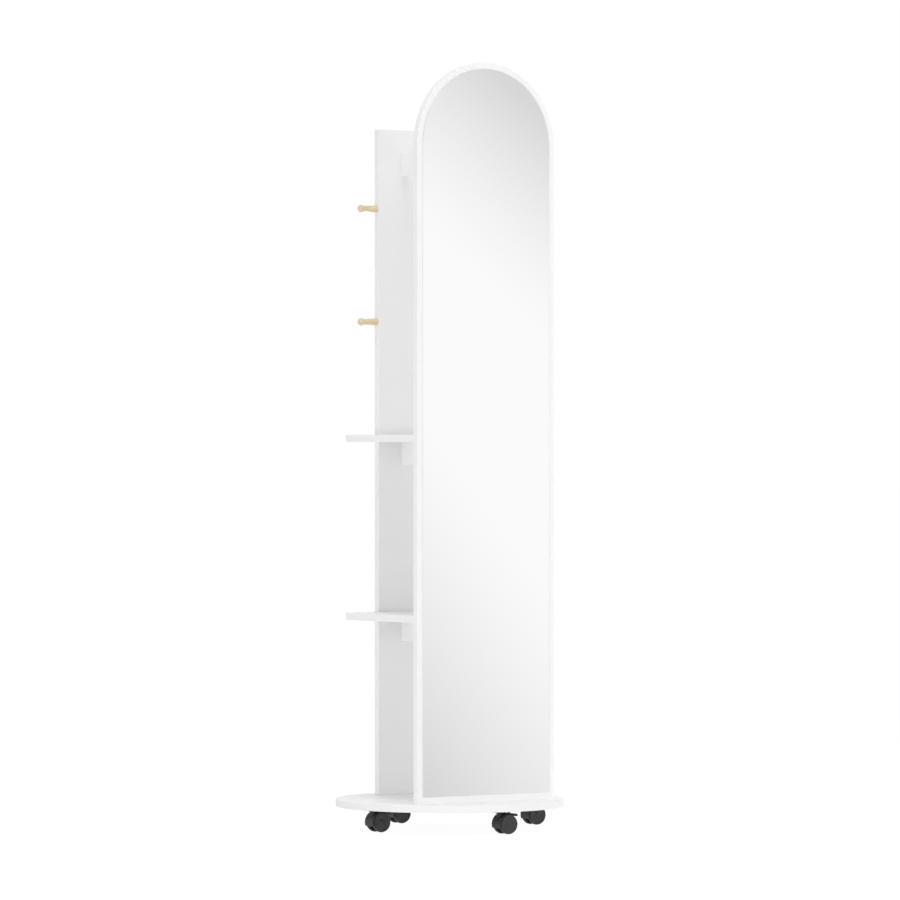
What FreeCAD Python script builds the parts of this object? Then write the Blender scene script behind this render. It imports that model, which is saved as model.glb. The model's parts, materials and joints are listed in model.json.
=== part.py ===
import FreeCAD, Part
import math
import os

import Sketcher
from FreeCAD import Rotation, Vector

# Mobile full-length mirror stand: a round base on four twin-wheel casters carries an
# arched mirror board and a narrower back board, with cross rails, two shelves and
# wooden coat pegs between and beside them.
# Frame: +X along the mirror board, +Y from the mirror to the back board, +Z up.
# Origin: the floor under the centre of the round base. Millimetres.

os.makedirs("parts", exist_ok=True)
doc = FreeCAD.newDocument("mirror_stand")

UP = Vector(0, 0, 1)
ORIGIN_POINT = (-1, 1)
X_AXIS = -1
# Sketcher numbers the points of a line or an arc in this order.
START, END, CENTRE = range(1, 4)

DRIVING_SIZES = [
    # panels
    ("board_thickness", 16),
    ("edge_round", 0.8),
    ("disc_diameter", 500),
    ("mirror_board_width", 363),
    ("mirror_board_height", 1603),
    ("mirror_back_y", -122),
    ("back_board_width", 137),
    ("back_board_height", 1470),
    ("board_gap", 298),
    # mirror
    ("glass_margin", 13.5),
    ("glass_foot_margin", 14.5),
    ("glass_thickness", 3),
    ("glass_edge_grind", 0.4),
    ("glass_clearance", 0.15),
    ("rebate_depth", 2.5),
    ("tape_thickness", 1),
    ("tape_width", 20),
    ("tape_length", 1300),
    ("tape_spacing", 90),
    ("tape_rise", 90),
    # shelves and cross rails
    ("shelf_width", 320),
    ("shelf_corner_radius", 8),
    ("lower_shelf_rise", 389),
    ("upper_shelf_rise", 780),
    ("rail_height", 50),
    ("top_rail_drop", 51),
    # knock-down joints
    ("hole_clearance", 0.2),
    ("cam_diameter", 15),
    ("cam_height", 12.2),
    ("cam_setback", 24),
    ("cam_slot_width", 8),
    ("cam_drive_width", 2.4),
    ("cam_drive_depth", 2.5),
    ("cam_drive_length", 9),
    ("cam_bolt_diameter", 6),
    ("cam_bolt_head_diameter", 7),
    ("cam_bolt_head_length", 3),
    ("cam_bolt_neck_diameter", 4),
    ("cam_bolt_neck_length", 4),
    ("cam_bolt_depth", 9),
    ("cam_cap_diameter", 17),
    ("cam_cap_thickness", 1),
    ("dowel_diameter", 8),
    ("dowel_depth", 9),
    ("dowel_reach", 20),
    ("dowel_chamfer", 1),
    ("rail_fixing_inset", 15),
    ("shelf_cam_inset", 45),
    ("shelf_dowel_inset", 95),
    ("back_cam_spread", 42),
    ("back_dowel_spread", 24),
    ("base_screw_head_diameter", 10),
    ("base_screw_head_height", 3),
    ("base_screw_diameter", 6.6),
    ("base_screw_thread_diameter", 5),
    ("base_screw_length", 50),
    ("base_screw_sink", 0.5),
    ("mirror_screw_outer", 150),
    ("mirror_screw_inner", 60),
    ("back_screw_spread", 45),
    # coat pegs
    ("peg_length", 49.5),
    ("peg_base_diameter", 16),
    ("peg_waist_diameter", 11.8),
    ("peg_knob_diameter", 16.8),
    ("peg_waist_blend", 6),
    ("lower_peg_rise", 1045),
    ("upper_peg_rise", 1295),
    ("peg_screw_diameter", 5),
    ("peg_screw_depth", 25),
    # casters
    ("caster_height", 50),
    ("caster_pitch_radius", 208),
    ("side_caster_offset", 6),
    ("front_caster_offset", -12),
    ("rear_caster_offset", -5),
    ("caster_rest_turn", -3),
    ("caster_trail", 12),
    ("caster_plate_side", 34),
    ("caster_plate_thickness", 2),
    ("caster_plate_corner", 5),
    ("caster_screw_spacing", 25),
    ("caster_screw_diameter", 4),
    ("caster_screw_head_diameter", 7.6),
    ("caster_screw_head_height", 2.2),
    ("caster_screw_length", 13),
    ("swivel_gap", 0.3),
    ("wheel_side_gap", 0.3),
    ("wheel_top_gap", 1.2),
    ("running_clearance", 0.05),
    ("kingpin_diameter", 8),
    ("kingpin_head_diameter", 11),
    ("kingpin_depth", 24),
    ("kingpin_groove_width", 1.6),
    ("kingpin_groove_depth", 0.8),
    ("housing_flange_diameter", 24),
    ("housing_flange_height", 2.3),
    ("housing_neck_diameter", 15),
    ("housing_bore_floor", 2),
    ("housing_wall", 1.1),
    ("housing_skirt_height", 13.4),
    ("housing_boss_diameter", 16),
    ("housing_lip_reach", 22),
    ("housing_lip_droop", 1.1),
    ("housing_lip_thickness", 5.5),
    ("housing_lip_slant", 2.5),
    ("wheel_diameter", 43),
    ("wheel_width", 8.5),
    ("wheel_gap", 17),
    ("wheel_edge_round", 0.9),
    ("wheel_tread_width", 4),
    ("wheel_tread_step", 0.8),
    ("wheel_rim_inner", 18),
    ("wheel_face_thickness", 2.4),
    ("wheel_ring_radius", 15.6),
    ("wheel_ring_depth", 0.7),
    ("wheel_cap_radius", 5.5),
    ("wheel_cap_rise", 0.5),
    ("wheel_hub_diameter", 11),
    ("wheel_rib_thickness", 1.4),
    ("wheel_rib_count", 6),
    ("wheel_rib_inset", 1.5),
    ("axle_diameter", 6),
    ("axle_end_gap", 0.3),
    ("pin_chamfer", 0.6),
]


class Size:
    """A length known both as an expression on the sheet and as its present value."""

    def __init__(self, text, value):
        self.text = text
        self.value = value

    def _with(self, sign, other, result, swap=False):
        other_text = other.text if isinstance(other, Size) else repr(other)
        left, right = (other_text, self.text) if swap else (self.text, other_text)
        return Size("(%s %s %s)" % (left, sign, right), result)

    def __add__(self, other):
        return self._with("+", other, self.value + number(other))

    def __sub__(self, other):
        return self._with("-", other, self.value - number(other))

    def __rsub__(self, other):
        return self._with("-", other, number(other) - self.value, swap=True)

    def __mul__(self, other):
        return self._with("*", other, self.value * number(other))

    def __truediv__(self, other):
        return self._with("/", other, self.value / number(other))

    def __neg__(self):
        return Size("(0 - %s)" % self.text, -self.value)


def number(size):
    return size.value if isinstance(size, Size) else size


def make_sheet(rows):
    """Write the driving dimensions to a sheet and return them by name."""
    sheet = doc.addObject("Spreadsheet::Sheet", "Sizes")
    named = {}
    for row, (name, value) in enumerate(rows, start=1):
        sheet.set("A%d" % row, name)
        sheet.set("B%d" % row, str(value))
        sheet.setAlias("B%d" % row, name)
        named[name] = Size("Sizes." + name, float(value))
    return named


S = make_sheet(DRIVING_SIZES)
doc.recompute()
ZERO = Size("0", 0.0)

# Heights and depths that several pieces share.
disc_top = S["caster_height"] + S["board_thickness"]
back_front_y = S["mirror_back_y"] + S["board_gap"]
back_rear_y = back_front_y + S["board_thickness"]
half_thickness = S["board_thickness"] / 2
lower_shelf_z = disc_top + S["lower_shelf_rise"]
upper_shelf_z = disc_top + S["upper_shelf_rise"]
top_rail_z = disc_top + S["back_board_height"] - S["top_rail_drop"] - S["rail_height"]
rail_heights = {
    "lower_shelf_rail": lower_shelf_z - S["rail_height"],
    "upper_shelf_rail": upper_shelf_z - S["rail_height"],
    "top_rail": top_rail_z,
}
shelf_heights = {"lower_shelf": lower_shelf_z, "upper_shelf": upper_shelf_z}

parts = {}


# ---------------------------------------------------------------- helpers

def place(item, x=ZERO, y=ZERO, z=ZERO, turn=None, axis=UP):
    """Bind an object's placement to the sheet."""
    if turn is not None:
        item.Placement.Rotation = Rotation(axis, 1.0)
        item.setExpression("Placement.Rotation.Angle", turn.text)
    for letter, size in (("x", x), ("y", y), ("z", z)):
        item.setExpression("Placement.Base." + letter, size.text)
    return item


def new_body(label, node=True, **where):
    body = doc.addObject("PartDesign::Body", label)
    body.Label = label
    place(body, **where)
    if node:
        parts[label] = body
    return body


def new_sketch(body, role, offset=None):
    sketch = body.newObject("Sketcher::SketchObject", body.Name + "_sketch")
    plane = [item for item in body.Origin.OriginFeatures if item.Role == role][0]
    sketch.AttachmentSupport = [(plane, "")]
    sketch.MapMode = "FlatFace"
    if offset is not None:
        sketch.setExpression("AttachmentOffset.Base.z", offset.text)
    return sketch


def dimension(sketch, kind, *where_and_size):
    """Add one dimension and bind it to the sheet."""
    *where, size = where_and_size
    index = sketch.addConstraint(Sketcher.Constraint(kind, *where, size.value))
    sketch.setExpression("Constraints[%d]" % index, size.text)


def pin_point(sketch, geometry, point, u, v):
    dimension(sketch, "DistanceX", *ORIGIN_POINT, geometry, point, u)
    dimension(sketch, "DistanceY", *ORIGIN_POINT, geometry, point, v)


def chain(sketch, points):
    """Closed straight-sided outline through (u, v) sizes; returns the line indices."""
    places = [Vector(u.value, v.value, 0) for u, v in points]
    ends = places[1:] + places[:1]
    lines = [sketch.addGeometry(Part.LineSegment(a, b)) for a, b in zip(places, ends)]
    for line, following in zip(lines, lines[1:] + lines[:1]):
        sketch.addConstraint(Sketcher.Constraint("Coincident", line, END, following, START))
    for line, (u, v) in zip(lines, points):
        pin_point(sketch, line, START, u, v)
    return lines


def rectangle(sketch, left, bottom, right, top):
    return chain(sketch, [(left, bottom), (right, bottom), (right, top), (left, top)])


def circle(sketch, u, v, diameter):
    shape = Part.Circle(Vector(u.value, v.value, 0), UP, diameter.value / 2)
    index = sketch.addGeometry(shape)
    pin_point(sketch, index, CENTRE, u, v)
    dimension(sketch, "Diameter", index, diameter)
    return index


def pad(body, sketch, length, reverse=False, middle=False):
    feature = body.newObject("PartDesign::Pad", body.Name + "_pad")
    feature.Profile = sketch
    feature.SideType = "Symmetric" if middle else "One side"
    feature.Reversed = reverse
    feature.setExpression("Length", length.text)
    body.Tip = feature
    return feature


def pocket(body, sketch, depth, reverse=False, middle=False):
    feature = body.newObject("PartDesign::Pocket", body.Name + "_pocket")
    feature.Profile = sketch
    feature.SideType = "Symmetric" if middle else "One side"
    feature.Reversed = reverse
    feature.setExpression("Length", depth.text)
    body.Tip = feature
    return feature


def revolve(body, sketch, reference, groove=False):
    kind = "Groove" if groove else "Revolution"
    feature = body.newObject("PartDesign::" + kind, body.Name + "_turned")
    feature.Profile = sketch
    feature.ReferenceAxis = (sketch, [reference])
    feature.Angle = 360
    body.Tip = feature
    return feature


def round_all(body, base, radius, kind="Fillet"):
    """Ease every sharp edge of the feature."""
    feature = body.newObject("PartDesign::" + kind, body.Name + "_edges")
    feature.Base = (base, [""])
    feature.UseAllEdges = True
    feature.setExpression("Radius" if kind == "Fillet" else "Size", radius.text)
    body.Tip = feature
    return feature


def drill(body, role, holes, diameter, depth, offset=None, reverse=False):
    """One pocket of round holes with their centres at (u, v)."""
    sketch = new_sketch(body, role, offset)
    for u, v in holes:
        circle(sketch, u, v, diameter)
    return pocket(body, sketch, depth, reverse)


def group(label, copies):
    """Several separate solids that share one node."""
    compound = doc.addObject("Part::Compound", label)
    compound.Label = label
    compound.Links = copies
    parts[label] = compound
    return compound


def repeat(label, prototype, spots):
    """Copies of one fastener at each spot, gathered in one node."""
    copies = []
    for spot in spots:
        copy = doc.addObject("App::Link", label + "_copy")
        copy.LinkedObject = prototype
        copies.append(place(copy, **spot))
    return group(label, copies)


def both_ways(size):
    return (-size, size)


# ---------------------------------------------------------------- fixing positions
# u runs along X and v along Z, both from the foot of the board's centre line.

rail_bolt_v = S["rail_fixing_inset"]
rail_dowel_v = S["rail_height"] - S["rail_fixing_inset"]
rail_feet = [height - disc_top for height in rail_heights.values()]
shelf_middles = [height - disc_top + half_thickness for height in shelf_heights.values()]

shelf_half_width = S["shelf_width"] / 2
mirror_bolt_u = shelf_half_width - S["shelf_cam_inset"]
mirror_dowel_u = shelf_half_width - S["shelf_dowel_inset"]


def board_holes(bolt_u, dowel_u):
    """Bolt and dowel holes that one board's inner face needs."""
    bolts = [(ZERO, foot + rail_bolt_v) for foot in rail_feet]
    dowels = [(ZERO, foot + rail_dowel_v) for foot in rail_feet]
    for middle in shelf_middles:
        bolts += [(u, middle) for u in both_ways(bolt_u)]
        dowels += [(u, middle) for u in both_ways(dowel_u)]
    return bolts, dowels


bolt_hole = S["cam_bolt_diameter"] + S["hole_clearance"]
dowel_hole = S["dowel_diameter"] + S["hole_clearance"]
bolt_hole_depth = S["cam_bolt_depth"] + S["hole_clearance"]
dowel_hole_depth = S["dowel_depth"] + S["hole_clearance"]
base_pilot = S["base_screw_thread_diameter"] + S["hole_clearance"]
base_screw_reach = S["base_screw_length"] - S["board_thickness"] + S["base_screw_sink"]
base_pilot_depth = base_screw_reach + S["hole_clearance"]
mirror_screw_us = [*both_ways(S["mirror_screw_outer"]), *both_ways(S["mirror_screw_inner"])]
back_screw_us = [*both_ways(S["back_screw_spread"])]


# ---------------------------------------------------------------- boards

def arch(sketch, half_width, bottom, spring):
    """Upright outline with a half-round head on straight sides."""
    w, b, s = half_width.value, bottom.value, spring.value
    foot = sketch.addGeometry(Part.LineSegment(Vector(-w, b, 0), Vector(w, b, 0)))
    right = sketch.addGeometry(Part.LineSegment(Vector(w, b, 0), Vector(w, s, 0)))
    ring = Part.Circle(Vector(0, s, 0), UP, w)
    head = sketch.addGeometry(Part.ArcOfCircle(ring, 0, math.pi))
    left = sketch.addGeometry(Part.LineSegment(Vector(-w, s, 0), Vector(-w, b, 0)))
    joints = [(foot, END, right, START), (left, END, foot, START)]
    for first, first_end, second, second_end in joints:
        sketch.addConstraint(
            Sketcher.Constraint("Coincident", first, first_end, second, second_end)
        )
    sketch.addConstraint(Sketcher.Constraint("Tangent", right, END, head, START))
    sketch.addConstraint(Sketcher.Constraint("Tangent", head, END, left, START))
    sketch.addConstraint(Sketcher.Constraint("Vertical", right))
    sketch.addConstraint(Sketcher.Constraint("Vertical", left))
    pin_point(sketch, foot, START, -half_width, bottom)
    pin_point(sketch, foot, END, half_width, bottom)
    dimension(sketch, "DistanceY", *ORIGIN_POINT, head, CENTRE, spring)


def make_base_disc():
    body = new_body("base_disc", z=S["caster_height"])
    sketch = new_sketch(body, "XY_Plane")
    circle(sketch, ZERO, ZERO, S["disc_diameter"])
    round_all(body, pad(body, sketch, S["board_thickness"]), S["edge_round"])
    mirror_y = S["mirror_back_y"] - half_thickness
    back_y = back_front_y + half_thickness
    holes = [(u, mirror_y) for u in mirror_screw_us] + [(u, back_y) for u in back_screw_us]
    shank = S["base_screw_diameter"] + S["hole_clearance"]
    drill(body, "XY_Plane", holes, shank, S["board_thickness"], reverse=True)
    head_seat = S["base_screw_head_diameter"] + S["hole_clearance"]
    seat_depth = S["base_screw_head_height"] + S["base_screw_sink"]
    drill(body, "XY_Plane", holes, head_seat, seat_depth, reverse=True)
    pilots = []
    for x, y in caster_spots.values():
        pilots += [(x + u, y + v) for u, v in plate_corners()]
    pilot = S["caster_screw_diameter"] + S["hole_clearance"]
    depth = S["caster_screw_length"] - S["caster_plate_thickness"] + S["hole_clearance"]
    drill(body, "XY_Plane", pilots, pilot, depth, reverse=True)


def make_mirror_board():
    half_width = S["mirror_board_width"] / 2
    spring = S["mirror_board_height"] - half_width
    body = new_body("mirror_board", y=S["mirror_back_y"], z=disc_top)
    sketch = new_sketch(body, "XZ_Plane")
    arch(sketch, half_width, ZERO, spring)
    round_all(body, pad(body, sketch, S["board_thickness"]), S["edge_round"])
    rebate_half = half_width - S["glass_margin"]
    rebate = new_sketch(body, "XZ_Plane", S["board_thickness"])
    arch(rebate, rebate_half, S["glass_foot_margin"], spring)
    pocket(body, rebate, S["rebate_depth"])
    bolts, dowels = board_holes(mirror_bolt_u, mirror_dowel_u)
    drill(body, "XZ_Plane", bolts, bolt_hole, bolt_hole_depth, reverse=True)
    drill(body, "XZ_Plane", dowels, dowel_hole, dowel_hole_depth, reverse=True)
    feet = [(u, half_thickness) for u in mirror_screw_us]
    drill_foot(body, feet)


def drill_foot(body, feet):
    """Screw pilots up into the foot of a board, on its centre plane."""
    holes = [(u, -v) for u, v in feet]
    drill(body, "XY_Plane", holes, base_pilot, base_pilot_depth, reverse=True)


def make_back_board():
    half_width = S["back_board_width"] / 2
    body = new_body("back_board", y=back_rear_y, z=disc_top)
    sketch = new_sketch(body, "XZ_Plane")
    rectangle(sketch, -half_width, ZERO, half_width, S["back_board_height"])
    round_all(body, pad(body, sketch, S["board_thickness"]), S["edge_round"])
    bolts, dowels = board_holes(S["back_cam_spread"], S["back_dowel_spread"])
    front = S["board_thickness"]
    drill(body, "XZ_Plane", bolts, bolt_hole, bolt_hole_depth, offset=front)
    drill(body, "XZ_Plane", dowels, dowel_hole, dowel_hole_depth, offset=front)
    feet = [(u, half_thickness) for u in back_screw_us]
    drill_foot(body, feet)
    pilot = S["peg_screw_diameter"] + S["hole_clearance"]
    depth = S["peg_screw_depth"] + S["hole_clearance"]
    rises = [S["lower_peg_rise"], S["upper_peg_rise"]]
    holes = [(-half_thickness, rise) for rise in rises]
    drill(body, "YZ_Plane", holes, pilot, depth, offset=-half_width, reverse=True)
    drill(body, "YZ_Plane", holes, pilot, depth, offset=half_width)


def make_glass():
    half_width = S["mirror_board_width"] / 2 - S["glass_margin"] - S["glass_clearance"]
    glass_back = S["rebate_depth"] - S["tape_thickness"]
    body = new_body(
        "mirror_glass", y=S["mirror_back_y"] - S["board_thickness"] + glass_back, z=disc_top
    )
    sketch = new_sketch(body, "XZ_Plane")
    spring = S["mirror_board_height"] - S["mirror_board_width"] / 2
    arch(sketch, half_width, S["glass_foot_margin"] + S["glass_clearance"], spring)
    plate = pad(body, sketch, S["glass_thickness"])
    round_all(body, plate, S["glass_edge_grind"], kind="Chamfer")


def make_tape():
    """Foam mounting strips between the rebate's floor and the glass."""
    floor_y = S["mirror_back_y"] - S["board_thickness"] + S["rebate_depth"]
    strips = []
    for side in (-1, 0, 1):
        strip = doc.addObject("Part::Box", "mirror_tape_strip")
        strip.setExpression("Length", S["tape_width"].text)
        strip.setExpression("Width", S["tape_thickness"].text)
        strip.setExpression("Height", S["tape_length"].text)
        x = S["tape_spacing"] * side - S["tape_width"] / 2
        strips.append(place(strip, x, floor_y - S["tape_thickness"], disc_top + S["tape_rise"]))
    group("mirror_tape", strips)


# ---------------------------------------------------------------- shelves and rails

cam_bore = S["cam_diameter"] + S["hole_clearance"]
cam_bore_depth = S["cam_height"] + S["hole_clearance"]
bolt_bore = S["cam_bolt_head_diameter"] + S["hole_clearance"]


def rounded_rectangle_corners(body, base, radius):
    """Round the upright corner edges of a panel."""
    doc.recompute()
    names = []
    for index, edge in enumerate(base.Shape.Edges, start=1):
        first, last = [vertex.Point for vertex in edge.Vertexes]
        if abs(first.z - last.z) > abs(first.x - last.x) + abs(first.y - last.y):
            names.append("Edge%d" % index)
    feature = body.newObject("PartDesign::Fillet", body.Name + "_corners")
    feature.Base = (base, names)
    feature.setExpression("Radius", radius.text)
    body.Tip = feature
    return feature


def make_shelf(label, height):
    body = new_body(label, y=S["mirror_back_y"], z=height)
    gap = S["board_gap"]
    sketch = new_sketch(body, "XY_Plane")
    rectangle(sketch, -shelf_half_width, ZERO, shelf_half_width, gap)
    panel = pad(body, sketch, S["board_thickness"])
    corners = rounded_rectangle_corners(body, panel, S["shelf_corner_radius"])
    round_all(body, corners, S["edge_round"])
    setback = S["cam_setback"]
    front_cams = [(u, setback) for u in both_ways(mirror_bolt_u)]
    back_cams = [(u, gap - setback) for u in both_ways(S["back_cam_spread"])]
    drill(body, "XY_Plane", front_cams + back_cams, cam_bore, cam_bore_depth, reverse=True)
    reach = S["dowel_reach"] + S["hole_clearance"]
    middle = half_thickness
    front_bolts = [(u, middle) for u in both_ways(mirror_bolt_u)]
    front_dowels = [(u, middle) for u in both_ways(mirror_dowel_u)]
    back_bolts = [(u, middle) for u in both_ways(S["back_cam_spread"])]
    back_dowels = [(u, middle) for u in both_ways(S["back_dowel_spread"])]
    drill(body, "XZ_Plane", front_bolts, bolt_bore, setback)
    drill(body, "XZ_Plane", front_dowels, dowel_hole, reach)
    drill(body, "XZ_Plane", back_bolts, bolt_bore, setback, offset=-gap, reverse=True)
    drill(body, "XZ_Plane", back_dowels, dowel_hole, reach, offset=-gap, reverse=True)


def make_rail(label, height):
    body = new_body(label, y=S["mirror_back_y"], z=height)
    gap = S["board_gap"]
    sketch = new_sketch(body, "XY_Plane")
    rectangle(sketch, -half_thickness, ZERO, half_thickness, gap)
    round_all(body, pad(body, sketch, S["rail_height"]), S["edge_round"])
    setback = S["cam_setback"]
    cams = [(setback, rail_bolt_v), (gap - setback, rail_bolt_v)]
    drill(body, "YZ_Plane", cams, cam_bore, cam_bore_depth, offset=half_thickness)
    reach = S["dowel_reach"] + S["hole_clearance"]
    bolts = [(ZERO, rail_bolt_v)]
    dowels = [(ZERO, rail_dowel_v)]
    drill(body, "XZ_Plane", bolts, bolt_bore, setback)
    drill(body, "XZ_Plane", dowels, dowel_hole, reach)
    drill(body, "XZ_Plane", bolts, bolt_bore, setback, offset=-gap, reverse=True)
    drill(body, "XZ_Plane", dowels, dowel_hole, reach, offset=-gap, reverse=True)


# ---------------------------------------------------------------- fasteners

def turned_prototype(name, profile):
    """A fastener turned about +Z from (radius, height) corners, axis side first."""
    body = new_body(name, node=False)
    sketch = new_sketch(body, "XZ_Plane")
    chain(sketch, profile)
    revolve(body, sketch, "V_Axis")
    return body


def cam_lock_prototype():
    """Cam housing opening along +Y for the bolt, with its drive cross facing -Z."""
    body = new_body("cam_lock", node=False)
    sketch = new_sketch(body, "XY_Plane")
    circle(sketch, ZERO, ZERO, S["cam_diameter"])
    pad(body, sketch, S["cam_height"])
    slot_half = S["cam_slot_width"] / 2
    head_room = S["cam_bolt_head_length"] / 2 + S["hole_clearance"]
    for depth, past_middle in ((S["cam_diameter"], False), (head_room, True)):
        slot = new_sketch(body, "XZ_Plane")
        rectangle(slot, -slot_half, half_thickness - slot_half, slot_half, half_thickness + slot_half)
        pocket(body, slot, depth, reverse=past_middle)
    narrow, long = S["cam_drive_width"] / 2, S["cam_drive_length"] / 2
    for half_u, half_v in ((narrow, long), (long, narrow)):
        bar = new_sketch(body, "XY_Plane")
        rectangle(bar, -half_u, -half_v, half_u, half_v)
        pocket(body, bar, S["cam_drive_depth"], reverse=True)
    return body


def cam_bolt_prototype():
    """Bolt along +Z: thread below 0, plain shank, neck and head above it."""
    shank = S["cam_bolt_diameter"] / 2
    neck = S["cam_bolt_neck_diameter"] / 2
    head = S["cam_bolt_head_diameter"] / 2
    top = S["cam_setback"] + S["cam_bolt_head_length"] / 2
    head_foot = top - S["cam_bolt_head_length"]
    neck_foot = head_foot - S["cam_bolt_neck_length"]
    return turned_prototype("cam_bolt", [
        (ZERO, -S["cam_bolt_depth"]),
        (shank, -S["cam_bolt_depth"]),
        (shank, neck_foot),
        (neck, neck_foot),
        (neck, head_foot),
        (head, head_foot),
        (head, top),
        (ZERO, top),
    ])


def dowel_prototype():
    """Wooden dowel along +Z with eased ends, its board end below 0."""
    rim = S["dowel_diameter"] / 2
    ease = S["dowel_chamfer"]
    foot, top = -S["dowel_depth"], S["dowel_reach"]
    return turned_prototype("wooden_dowel", [
        (ZERO, foot), (rim - ease, foot), (rim, foot + ease),
        (rim, top - ease), (rim - ease, top), (ZERO, top),
    ])


def base_screw_prototype():
    """Flat-headed connector screw along +Z, the head's face at 0."""
    head = S["base_screw_head_diameter"] / 2
    shank = S["base_screw_diameter"] / 2
    thread = S["base_screw_thread_diameter"] / 2
    head_top = S["base_screw_head_height"]
    shank_top = S["board_thickness"] - S["base_screw_sink"]
    return turned_prototype("base_screw", [
        (ZERO, ZERO), (head, ZERO), (head, head_top), (shank, head_top),
        (shank, shank_top), (thread, shank_top),
        (thread, S["base_screw_length"] - thread), (ZERO, S["base_screw_length"]),
    ])


def caster_screw_prototype():
    """Pan-head wood screw along +Z, the seat of its head at 0."""
    head = S["caster_screw_head_diameter"] / 2
    shank = S["caster_screw_diameter"] / 2
    crown = S["caster_screw_head_height"]
    crown_flat, rim_height = head / 2, crown / 3
    return turned_prototype("caster_screw", [
        (ZERO, -crown), (crown_flat, -crown), (head, -rim_height), (head, ZERO), (shank, ZERO),
        (shank, S["caster_screw_length"] - shank), (ZERO, S["caster_screw_length"]),
    ])


def peg_screw_prototype():
    """Double-ended hanger screw along +Z, centred on the board's edge at 0."""
    shank = S["peg_screw_diameter"] / 2
    reach = S["peg_screw_depth"]
    return turned_prototype("peg_screw", [
        (ZERO, -reach), (shank, -reach + shank), (shank, reach - shank), (ZERO, reach),
    ])


def cam_cap_prototype():
    """Thin cover cap on a cam, its seat at 0 and its face below."""
    rim = S["cam_cap_diameter"] / 2
    face = -S["cam_cap_thickness"]
    return turned_prototype("cam_cap", [
        (ZERO, face), (rim - S["cam_cap_thickness"] / 2, face),
        (rim, face / 2), (rim, ZERO), (ZERO, ZERO),
    ])


QUARTER = Size("90", 90.0)
HALF = Size("180", 180.0)
X_WAYS, Y_WAYS = Vector(1, 0, 0), Vector(0, 1, 0)


def end_spots(x, z):
    """Placements on the boards' facing sides that point a fastener's +Z into the gap."""
    return [
        {"x": x, "y": S["mirror_back_y"], "z": z, "turn": -QUARTER, "axis": X_WAYS},
        {"x": x, "y": back_front_y, "z": z, "turn": QUARTER, "axis": X_WAYS},
    ]


def make_knock_down_fittings():
    bolts, dowels = [], []
    for foot in rail_heights.values():
        bolts += end_spots(ZERO, foot + rail_bolt_v)
        dowels += end_spots(ZERO, foot + rail_dowel_v)
    for height in shelf_heights.values():
        middle = height + half_thickness
        for mirror_u, back_u, spots in (
            (mirror_bolt_u, S["back_cam_spread"], bolts),
            (mirror_dowel_u, S["back_dowel_spread"], dowels),
        ):
            spots += [end_spots(u, middle)[0] for u in both_ways(mirror_u)]
            spots += [end_spots(u, middle)[1] for u in both_ways(back_u)]
    repeat("cam_bolts", cam_bolt_prototype(), bolts)
    repeat("wooden_dowels", dowel_prototype(), dowels)
    make_cams()


def make_cams():
    lock, cap = cam_lock_prototype(), cam_cap_prototype()
    front_y = S["mirror_back_y"] + S["cam_setback"]
    back_y = back_front_y - S["cam_setback"]
    shelf_spots = []
    for height in shelf_heights.values():
        for u in both_ways(mirror_bolt_u):
            shelf_spots.append({"x": u, "y": front_y, "z": height, "turn": HALF})
        for u in both_ways(S["back_cam_spread"]):
            shelf_spots.append({"x": u, "y": back_y, "z": height})
    repeat("shelf_cam_locks", lock, shelf_spots)
    repeat("shelf_cam_caps", cap, shelf_spots)
    make_rail_cams(lock, cap)


def make_rail_cams(lock, cap):
    """Cams on the rails' +X faces: +Z of the cam points into the rail."""
    lock_spots = []
    for foot in rail_heights.values():
        z = foot + rail_bolt_v
        for y, spin in (
            (S["mirror_back_y"] + S["cam_setback"], HALF),
            (back_front_y - S["cam_setback"], ZERO),
        ):
            lock_spots.append({"x": half_thickness, "y": y, "z": z, "spin": spin})
    repeat_sideways("rail_cam_locks", lock, lock_spots)
    repeat_sideways("rail_cam_caps", cap, lock_spots)


def repeat_sideways(label, prototype, spots):
    """Copies laid on their side, +Z towards -X, after a spin about their own axis."""
    copies = []
    for spot in spots:
        spun = doc.addObject("App::Link", label + "_spun")
        spun.LinkedObject = prototype
        place(spun, turn=spot["spin"])
        laid = doc.addObject("Part::Compound", label + "_laid")
        laid.Links = [spun]
        place(laid, spot["x"], spot["y"], spot["z"], turn=-QUARTER, axis=Y_WAYS)
        copies.append(laid)
    group(label, copies)


def make_base_screws():
    mirror_y = S["mirror_back_y"] - half_thickness
    back_y = back_front_y + half_thickness
    z = S["caster_height"] + S["base_screw_sink"]
    spots = [{"x": u, "y": mirror_y, "z": z} for u in mirror_screw_us]
    spots += [{"x": u, "y": back_y, "z": z} for u in back_screw_us]
    repeat("base_screws", base_screw_prototype(), spots)


# ---------------------------------------------------------------- coat pegs

peg_axis_y = back_front_y + half_thickness
peg_rises = {"lower": S["lower_peg_rise"], "upper": S["upper_peg_rise"]}


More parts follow.
